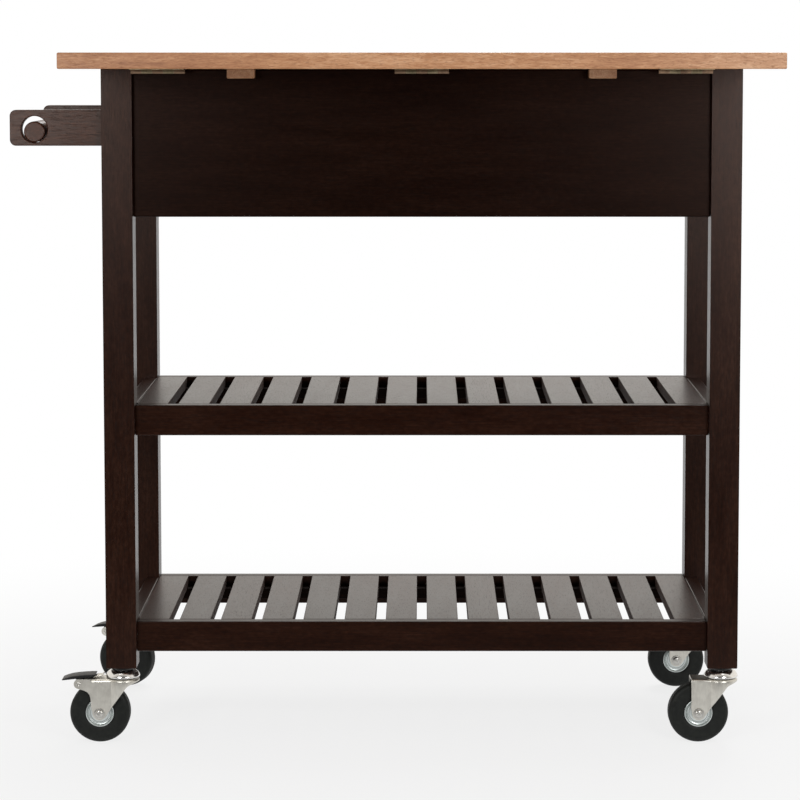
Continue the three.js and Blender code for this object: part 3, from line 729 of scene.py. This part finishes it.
def add_drawer(side):
    low, high = box_mm(f"drawer_box_{side}")
    wall, bottom = DRAWER_WALL, low.z + DRAWER_BOTTOM_HEIGHT
    ends = [board((low.x + wall, y, low.z), (high.x - wall, y + wall, high.z), 1)
            for y in (low.y, high.y - wall)]
    walls = [board((x, low.y, low.z), (x + wall, high.y, high.z), 1)
             for x in (low.x, high.x - wall)]
    base = board((low.x + wall, low.y + wall, bottom),
                 (high.x - wall, high.y - wall, bottom + DRAWER_BOTTOM), 0.3, 1)
    body, slot, node = f"drawer_{side}", "drawer_wood", [f"drawer_box_{side}"]
    piece(f"drawer_ends_{side}", joined(*ends), drawer_wood_x, body, stands_for=node)
    piece(f"drawer_sides_{side}", joined(*walls), drawer_wood_y, body, stands_for=node)
    piece(f"drawer_bottom_{side}", base, drawer_ply, body, stands_for=node)


def add_knob(side):
    low, high = box_mm(f"drawer_knob_{side}")
    radius, length = (high.x - low.x) / 2, high.y - low.y
    neck = KNOB_NECK_RADIUS
    profile = [(0, 0), (8.2, 0), (9, 0.6), (9, 1.6), (7.6, 2.6), (neck, 5)]
    profile += [(across, length * share) for across, share in (
        (neck, 0.4), (neck + 1.4, 0.49), (radius - 4, 0.55), (radius - 1, 0.62), (radius, 0.71),
        (radius - 0.5, 0.8), (radius - 3, 0.89), (radius - 7, 0.96), (radius - 11, 0.99), (0, 1))]
    place = move((low.x + high.x) / 2, low.y, (low.z + high.z) / 2) @ ALONG_Y
    piece(f"knob_{side}", turned(profile, 64, 50), nickel, f"drawer_{side}", place,
          [f"drawer_knob_{side}"])


for side in SIDES:
    add_drawer(side)
    add_knob(side)


# ---- Casters: drawn with the swivel axis on Z, and the wheel behind it towards -X ----

def caster_place(name):
    """Place of a caster, with +Y along its wheel's axle."""
    swivel = JOINTS[f"caster_{name}_swivel_turn"]["pos_m"]
    axle = JOINTS[f"caster_{name}_wheel_spin"]["axis"]
    around = Matrix.Rotation(math.atan2(-axle[0], axle[1]), 4, "Z")
    return move(swivel[0] / MM, swivel[1] / MM) @ around


AXLE = move(-TRAIL, 0, WHEEL_RADIUS)
PIVOT = move(BRAKE_PIVOT[0], 0, BRAKE_PIVOT[1])


def stem():
    """Kingpin head under the crown, the bearing's plate above it and the threaded stem."""
    thread = []
    for ridge in range(THREAD_TURNS):
        height = LEG_FOOT + 1 + ridge * THREAD_PITCH
        thread += [(4.2, height), (5, height + THREAD_PITCH / 2)]
    return turned([(0, 75.2), (7, 75.2), (8, 76), (8, 79.4), (5, 79.7), (5, 82.4), (17.5, 82.4),
                   (17.5, 84), (5, 84.2), (5, LEG_FOOT), *thread, (4.2, STEM_TOP - 1.5),
                   (3.4, STEM_TOP), (0, STEM_TOP)], 32)


def dome():
    """The polished upper race of the swivel."""
    return turned([(14, 83), (20.4, 83), (21.2, 83.3), (21.6, 83.9), (21.6, 84.6), (21.35, 85.4),
                   (21, 86.2), (20.6, 87), (20.1, 87.8), (19.5, 88.6), (18.7, 89.5), (17.6, 90.4),
                   (16.2, 91.2), (14.6, 91.8), (13.2, 92), (5.2, 92.1), (5.2, 91.1), (12.4, 90.9),
                   (16, 89.4), (18.2, 87.2), (18.8, 85), (14, 83)], 72)


def grease_tab():
    """The spring tab that stands on the crown behind the dome, on forks with a brake."""
    lower = [(-36.5, 82.2), (-33.6, 83.4), (-30.5, 84.1), (-26.8, 84.2), (-24.6, 85.6),
             (-23.2, 87.2)]
    upper = [(-23.9, 87.9), (-25.3, 86.4), (-27.2, 85.4), (-30.6, 85.3), (-34.2, 84.6), (-37, 83.2)]
    return slab(lower + upper, 15, 0.3, segments=1)


def washer():
    return turned([(5.2, 92.2), (13, 92.2), (13.8, 92.7), (14, 93.6), (13.8, 94.9), (13, 95.6),
                   (5.2, 95.6), (5.2, 92.2)], 56)


def tyre():
    side = [(HUB_RADIUS + 0.3, 0.9), (HUB_RADIUS + 1.6, 0.2), (HUB_RADIUS + 4, 0), (29, -0.25),
            (32.4, -0.1), (33, 0.35), (33.7, 0.2), (35, 0.7), (36.3, 1.6), (37.3, 2.9), (37.8, 4.1)]
    shoulder, groove_floor = 5.0, WHEEL_RADIUS - 0.6
    tread = [(WHEEL_RADIUS, shoulder)]
    for groove in range(TREAD_GROOVES):
        start = shoulder + 0.6 + groove * GROOVE_PITCH
        tread += [(WHEEL_RADIUS, start), (groove_floor, start + 0.25), (groove_floor, start + 1),
                  (WHEEL_RADIUS, start + 1.25)]
    tread.append((WHEEL_RADIUS, WHEEL_WIDTH - shoulder))
    return turned(even_ended(side, WHEEL_WIDTH / 2, tread), 96, 32)


def hub():
    """Two pressed steel discs, with a raised rim and rings stepped down to the boss."""
    side = [(4.4, -1.4), (6.4, -1.4), (7.2, -1), (7.8, 0.6), (9.3, 2.1), (11.6, 2.3), (12.2, 1.7),
            (13.6, 1.6), (14.2, 2.2), (15, 1.9), (16, 0.5), (16.8, -0.1), (17.6, 0.2),
            (HUB_RADIUS, 1)]
    return turned(even_ended(side, WHEEL_WIDTH / 2), 72, 28)


def fork_outline(braked):
    """X and Z round one side of the fork, counter-clockwise, before its top edge is bent over."""
    axle, back = (-TRAIL, WHEEL_RADIUS), -FORK_BACK
    bent_top = BEND_START + FORK_BEND * math.pi / 2
    outline = arc(axle, FORK_END_RADIUS, 180, 324, 20)
    outline += [(5, 71), (6.8, 73), (9.5, 74.7), (13, 76), (17, 77.2), (MID_RADIUS, 78),
                (MID_RADIUS, bent_top), (back, bent_top)]
    if braked:
        slit = back - EAR_SLIT
        outline += [(back, BEND_START), (slit, BEND_START), (slit, CROWN_TOP)]
        outline += arc(BRAKE_PIVOT, EAR_RADIUS, 88, 255, 16)
        outline += [(-52, 68.9), (-47.4, 67.4), (-43.6, 65.4), (-41, 62.2), (-39.8, 58),
                    (-39.3, 52), (-39.2, 46), (-38.2, 42)]
    else:
        outline += [(back + 0.3, 54), (back, 46)]
    return outline


def wrapped(point):
    """Carries a point of the outline onto the fork: flat sides, a round front, a bent top edge."""
    along, height = point
    if along <= FOLD:
        foot, inward = Vector((along, MID_HALF_WIDTH, 0)), Vector((0, -1, 0))
    else:
        foot = Vector((along, math.sqrt(max(MID_RADIUS ** 2 - along ** 2, 0)), 0))
        inward = -foot.normalized()
    if height <= BEND_START or along < SLIT_MIDDLE:
        return foot + Vector((0, 0, height))
    angle = (height - BEND_START) / FORK_BEND
    return (foot + inward * FORK_BEND * (1 - math.cos(angle))
            + Vector((0, 0, BEND_START + FORK_BEND * math.sin(angle))))


def cut_for_bends(shape):
    """Cuts the flat outline where the sheet will bend: round the front and along the top edge."""
    front_steps, top_steps = 16, 5
    fold_angle = math.acos(FOLD / MID_RADIUS)
    angles = [fold_angle * step / front_steps for step in range(1, front_steps + 1)]
    cuts = [(MID_RADIUS * math.cos(angle), "X") for angle in angles]
    cuts.append((-FORK_BACK, "X"))
    cuts += [(BEND_START + FORK_BEND * math.pi / 2 * step / top_steps, "Z")
             for step in range(top_steps)]
    for distance, letter in cuts:
        normal = Vector((letter == "X", 0, letter == "Z"))
        everything = shape.verts[:] + shape.edges[:] + shape.faces[:]
        bmesh.ops.bisect_plane(shape, geom=everything, plane_co=normal * distance, plane_no=normal)


def fill_crown(shape):
    """Joins the two sides' bent edges with a flat crown, with a hole for the kingpin.

    Vertices and edges are kept in order, because a set's order changes from run to run."""
    level = MID_CROWN - 0.01
    rim = [edge for edge in shape.edges if edge.is_boundary
           and all(vertex.co.z > level and vertex.co.x > SLIT_MIDDLE for vertex in edge.verts)]
    ends = [vertex for vertex in dict.fromkeys(vertex for edge in rim for vertex in edge.verts)
            if sum(edge in rim for edge in vertex.link_edges) == 1]
    rim.append(shape.edges.new(ends))
    hole = bmesh.ops.create_circle(shape, segments=32, radius=KINGPIN_HOLE_RADIUS,
                                   matrix=move(0, 0, MID_CROWN))
    hole_edges = list(dict.fromkeys(edge for vertex in hole["verts"] for edge in vertex.link_edges))
    bmesh.ops.triangle_fill(shape, edges=rim + hole_edges, use_beauty=True)


def fork(braked):
    """A fork pressed from sheet: both sides and the crown between them."""
    shape = bmesh.new()
    outline = [shape.verts.new((along, 0, height)) for along, height in fork_outline(braked)]
    shape.faces.new(outline)
    cut_for_bends(shape)
    for vertex in shape.verts:
        vertex.co = wrapped((vertex.co.x, vertex.co.z))
    everything = shape.verts[:] + shape.edges[:] + shape.faces[:]
    other = bmesh.ops.duplicate(shape, geom=everything)["geom"]
    for vertex in [item for item in other if isinstance(item, bmesh.types.BMVert)]:
        vertex.co.y *= -1
    other_faces = [item for item in other if isinstance(item, bmesh.types.BMFace)]
    bmesh.ops.reverse_faces(shape, faces=other_faces)
    bmesh.ops.remove_doubles(shape, verts=shape.verts, dist=0.01)
    fill_crown(shape)
    bmesh.ops.recalc_face_normals(shape, faces=shape.faces)
    mesh = bpy.data.meshes.new("fork")
    shape.to_mesh(mesh)
    shape.free()
    thicken = {"thickness": FORK_SHEET, "offset": 0, "use_even_offset": True}
    ease = {"width": 0.35, "segments": 2, "limit_method": "ANGLE", "angle_limit": math.radians(50)}
    return tidy(with_modifiers(mesh, ("SOLIDIFY", thicken), ("BEVEL", ease)), 30)


def cross_cut(head, top, width, depth):
    """Cuts a cross recess into a screw's head, down from its top's height."""
    half, thin = width / 2, width * 0.15
    arm = board((-half, -thin, top - depth), (half, thin, top + 1), 0.05, 1)
    tool = bpy.data.objects.new("cutter", joined(arm, (arm, turn(90, "Z"))))
    bpy.context.scene.collection.objects.link(tool)
    recess = {"operation": "DIFFERENCE", "object": tool, "solver": "EXACT", "use_self": True}
    cut = with_modifiers(head, ("BOOLEAN", recess))
    bpy.data.objects.remove(tool)
    return tidy(cut)


def bolt_head():
    """Flanged round head, with a cross recess pressed into it."""
    head = turned([(0, 0), (6.6, 0), (6.9, 0.4), (6.6, 0.9), (5.2, 1.1), (4.9, 2.2), (4.2, 2.9),
                   (2.6, 3.3), (0, 3.4)], 48)
    return cross_cut(head, top=3.4, width=4.4, depth=1.2)


def nut():
    """Hexagon nut about Z = 0, with the bolt's end in it."""
    outline = arc((0, 0), NUT_CORNER_RADIUS, 0, 360, 6)[:-1]
    body = slab(outline, NUT_HEIGHT, 0.5, [round_hole((0, 0), BOLT_RADIUS, 24)])
    end = turned([(0, -2), (3.7, -2), (3.7, 2.2), (3, 2.8), (0, 2.8)], 24)
    return joined(body, end)


def axle_parts():
    """Bolt through the wheel, its head towards -Y and its nut towards +Y."""
    half = FORK_HALF_WIDTH + 0.5
    shank = turned([(0, -half), (BOLT_RADIUS, -half), (BOLT_RADIUS, half), (0, half)], 24)
    return joined((shank, AXLE @ ALONG_Y),
                  (bolt_head(), AXLE @ move(0, -FORK_HALF_WIDTH) @ turn(90, "X")),
                  (nut(), AXLE @ move(0, FORK_HALF_WIDTH + NUT_HEIGHT / 2) @ ALONG_Y))


def brake_rivet():
    side = [(1.1, -0.1), (1.3, -0.9), (2.1, -1.1), (2.8, -0.8), (3, 0)]
    body = turned(even_ended(side, FORK_HALF_WIDTH), 28)
    return joined((body, PIVOT @ ALONG_Y))


def brake_lever():
    """Pedal with rolled edges over the lever's web, boss and lobe, drawn about the pivot."""
    outline = [(-21.5, 4.2), (-20.6, 4.1), (-9.9, 5.2), (2.4, 6.5), (18, 8), (19, 8.5),
               (20.9, 10.4), (21.1, 11), (20.4, 11.3), (14.7, 11.2), (8, 10.9), (1.5, 10.4),
               (-4, 9.8), (-9.9, 8.9), (-15.2, 7.4), (-18.6, 6.2), (-21.3, 5)]
    pedal = slab(outline, BRAKE_WIDTH, 0.8)
    web = slab([(-3.6, -1), (3.6, -1), (3.6, 8), (-3.6, 8)], BRAKE_WIDTH, 0.6)
    boss = turned(even_ended([(2.4, 0), (4, 0), (4.4, 0.5)], BRAKE_WIDTH / 2), 32)
    across, down = -TRAIL - BRAKE_PIVOT[0], WHEEL_RADIUS - BRAKE_PIVOT[1]
    reach = math.hypot(across, down) - WHEEL_RADIUS - 2.5
    lobe = slab([*arc((reach, 0), 2, -90, 90, 10), (2.6, 2), (2.6, -2)], BRAKE_WIDTH, 0.5)
    # The lobe points at the axle when the pedal is pressed.
    lobe_angle = math.atan2(down, across) - math.radians(BRAKE_TRAVEL)
    lobe.transform(Matrix.Rotation(lobe_angle, 4, "Z"))
    return joined((pedal, UPRIGHT), (web, UPRIGHT), (boss, ALONG_Y), (lobe, UPRIGHT))


def add_caster(name):
    place = caster_place(name)
    braked = f"caster_{name}_brake" in frame["nodes"]
    swivel, wheel = f"caster_{name}_swivel", f"caster_{name}_wheel"
    stem_node, fork_node = [f"caster_{name}_stem"], [f"caster_{name}_fork"]
    piece(f"stem_{name}", stem(), screw_steel, "frame", place, stem_node)
    piece(f"dome_{name}", dome(), dome_zinc, "frame", place, stem_node)
    piece(f"washer_{name}", washer(), washer_black, "frame", place, stem_node)
    piece(f"fork_{name}", fork(braked), fork_zinc, swivel, place, fork_node)
    piece(f"axle_{name}", axle_parts(), screw_steel, swivel, place, fork_node)
    if braked:
        piece(f"tab_{name}", grease_tab(), fork_zinc, swivel, place @ UPRIGHT, fork_node)
        piece(f"rivet_{name}", brake_rivet(), screw_steel, swivel, place, fork_node)
        piece(f"lever_{name}", brake_lever(), brake_black, f"caster_{name}_brake",
              place @ PIVOT, [f"caster_{name}_brake"])
    on_axle = place @ AXLE @ ALONG_Y
    piece(f"hub_{name}", hub(), hub_zinc, wheel, on_axle, [f"caster_{name}_hub"])
    piece(f"tyre_{name}", tyre(), tyre_rubber, wheel, on_axle, [f"caster_{name}_tyre"])


for name in CASTERS:
    add_caster(name)


# ---- Screws ----

def screw():
    """Countersunk head with a cross recess, its rim at Z = 0."""
    profile = [(0, -3), (1.4, -3), (1.5, -1.9), (3.3, -0.35), (3.4, 0), (3, 0.15), (0, 0.3)]
    return cross_cut(turned(profile, 20), top=0.3, width=3.2, depth=1)


def screw_row(start, step, seed):
    """Three screws with their heads down, each turned at random."""
    return row(screw(), screw_steel, 3, start, step, (math.pi, 0, 0), math.pi, seed)


def add_hinge_screws():
    for plate, body, sign in (("top", "frame", 1), ("leaf", "leaf", -1)):
        rows = []
        for index, place in enumerate(HINGES):
            low, high = box_mm(f"hinge_{place}_{plate}_plate")
            pitch = (high.x - low.x - 2 * HINGE_SCREW_INSET) / 2
            y = (low.y + high.y + sign * HINGE_KNUCKLE) / 2
            start = (low.x + HINGE_SCREW_INSET, y, high.z - HINGE_PLATE)
            rows.append(screw_row(start, (pitch, 0, 0), 5 + index))
        piece(f"hinge_screws_{plate}", joined(*rows), screw_steel, body)


def add_guide_screws():
    rows = []
    for index, side in enumerate(SIDES):
        low, high = box_mm(f"support_guide_{side}")
        pitch = (high.y - low.y - 2 * GUIDE_SCREW_INSET) / 2
        for x in (low.x + GUIDE_SCREW_EDGE, high.x - GUIDE_SCREW_EDGE):
            start = (x, low.y + GUIDE_SCREW_INSET, low.z)
            rows.append(screw_row(start, (0, pitch, 0), 21 + index))
    piece("guide_screws", joined(*rows), screw_steel, "frame")


add_hinge_screws()
add_guide_screws()


# ---- Floor, light and camera, in metres ----

DIM_FLOOR = (0.05, 0.045, 0.04)
DIM_FLOOR_Y = (-1.1, -0.1)  # dim in front of the first, as it is behind the second
WHITE_FLOOR = (0.5, 1.5)  # radii between which the shadow fades
CAMERA_PLACE = (0.0443, -3.74185, 0.8688)
CAMERA_PITCH = 5.16  # degrees below level
CAMERA_LENS = 133.0
CAMERA_SHIFT = (-0.0265, -0.1)
# Name, place, target, width and height, and power in watts.
LAMPS = [
    ("left_front", (-0.87, -1.75, 0.93), (-0.3, 0, 0.75), (0.5, 0.45), 10.5),
    ("right_front", (0.93, -1.75, 0.88), (0.3, 0, 0.7), (0.5, 0.6), 12.5),
    ("overhead", (0, 0.2, 3.0), (0, 0, 0.6), (2.2, 2.2), 26),
    ("back", (0.5, 2.3, 2.6), (0, 0, 0.6), (1.6, 1.2), 36),
]


def seen_directly(finish):
    """1 for rays that see a surface directly or in a mirror or glass."""
    path = finish.node("ShaderNodeLightPath")
    seen = finish.math("MAXIMUM", path["Is Camera Ray"], path["Is Glossy Ray"])
    return finish.math("MAXIMUM", seen, path["Is Transmission Ray"])


def add_floor():
    """Pale floor that keeps the shadow near the island and turns white away from it.

    Mirrors see it dim in front, so that the fronts don't turn pale."""
    finish = Finish("floor_paper", roughness=0.9)
    mottle = finish.noise(finish.scaled((3, 3, 3)), 2)
    tones = [(0.3, (0.74, 0.74, 0.735)), (0.7, (0.78, 0.78, 0.775))]
    finish.set("Base Color", finish.ramp(mottle, tones))
    lengths = finish.node("ShaderNodeVectorMath", {"operation": "LENGTH"}, {"Vector": finish.place})
    share = seen_directly(finish) * (lengths["Value"].between(*WHITE_FLOOR) * 0.2 + 0.8)
    paper = Value(finish, finish.shader.outputs["BSDF"])
    paper = finish.blend(share, paper, finish.glow((1, 1, 1)))
    mirrored = finish.node("ShaderNodeLightPath")["Is Glossy Ray"]
    in_front = mirrored * (1 - finish.axis("Y").between(*DIM_FLOOR_Y))
    paper = finish.blend(in_front, paper, finish.glow(DIM_FLOOR))
    finish.tree.links.new(paper.socket, finish.tree.nodes["Material Output"].inputs["Surface"])
    mesh = bpy.data.meshes.new("floor")
    reach = 30
    mesh.from_pydata([(-reach, -reach, 0), (reach, -reach, 0), (reach, reach, 0),
                      (-reach, reach, 0)], [], [(0, 1, 2, 3)])
    mesh.materials.append(finish.material)
    floor = bpy.data.objects.new("floor", mesh)
    bpy.context.scene.collection.objects.link(floor)


def add_world():
    """White where it is seen, dim in front where mirrors see it, and a weak fill for the rest."""
    world = bpy.data.worlds.new("studio")
    bpy.context.scene.world = world
    world.use_nodes = True
    tree = world.node_tree
    tree.nodes.clear()
    make, link = tree.nodes.new, tree.links.new
    coordinates = make("ShaderNodeTexCoord")
    parts = make("ShaderNodeSeparateXYZ")
    link(coordinates.outputs["Generated"], parts.inputs[0])
    ramp = make("ShaderNodeMapRange")
    ramp.interpolation_type = "SMOOTHSTEP"
    for key, value in {"From Min": -0.95, "From Max": -0.1, "To Min": 0.06, "To Max": 1.0}.items():
        ramp.inputs[key].default_value = value
    link(parts.outputs["Y"], ramp.inputs["Value"])

    def light(colour, strength=1.0):
        background = make("ShaderNodeBackground")
        background.inputs["Color"].default_value = (*colour, 1)
        background.inputs["Strength"].default_value = strength
        return background

    def chosen(factor, first, second):
        mix = make("ShaderNodeMixShader")
        for socket, output in zip(mix.inputs, (factor, first.outputs[0], second.outputs[0])):
            link(output, socket)
        return mix

    mirrored = light((1, 0.96, 0.9))
    link(ramp.outputs["Result"], mirrored.inputs["Strength"])
    path = make("ShaderNodeLightPath").outputs
    seen = make("ShaderNodeMath")
    seen.operation = "MAXIMUM"
    link(path["Is Camera Ray"], seen.inputs[0])
    link(path["Is Transmission Ray"], seen.inputs[1])
    unseen = chosen(path["Is Glossy Ray"], light((1, 1, 1), 0.3), mirrored)
    surface = chosen(seen.outputs[0], unseen, light((1, 1, 1)))
    link(surface.outputs[0], make("ShaderNodeOutputWorld").inputs["Surface"])


def add_lamp(name, place, target, size, power):
    data = bpy.data.lights.new(name, "AREA")
    data.shape = "RECTANGLE"
    data.size, data.size_y = size
    data.energy = power
    lamp = bpy.data.objects.new(name, data)
    lamp.visible_camera = False
    lamp.location = place
    lamp.rotation_euler = (Vector(target) - Vector(place)).to_track_quat("-Z", "Y").to_euler()
    bpy.context.scene.collection.objects.link(lamp)


def add_camera():
    data = bpy.data.cameras.new("camera")
    data.lens = CAMERA_LENS
    data.shift_x, data.shift_y = CAMERA_SHIFT
    camera = bpy.data.objects.new("camera", data)
    camera.location = CAMERA_PLACE
    camera.rotation_euler = (math.radians(90 - CAMERA_PITCH), 0, 0)
    bpy.context.scene.collection.objects.link(camera)
    bpy.context.scene.camera = camera


add_floor()
add_world()
for lamp in LAMPS:
    add_lamp(*lamp)
add_camera()
bpy.context.scene.view_settings.view_transform = "Standard"
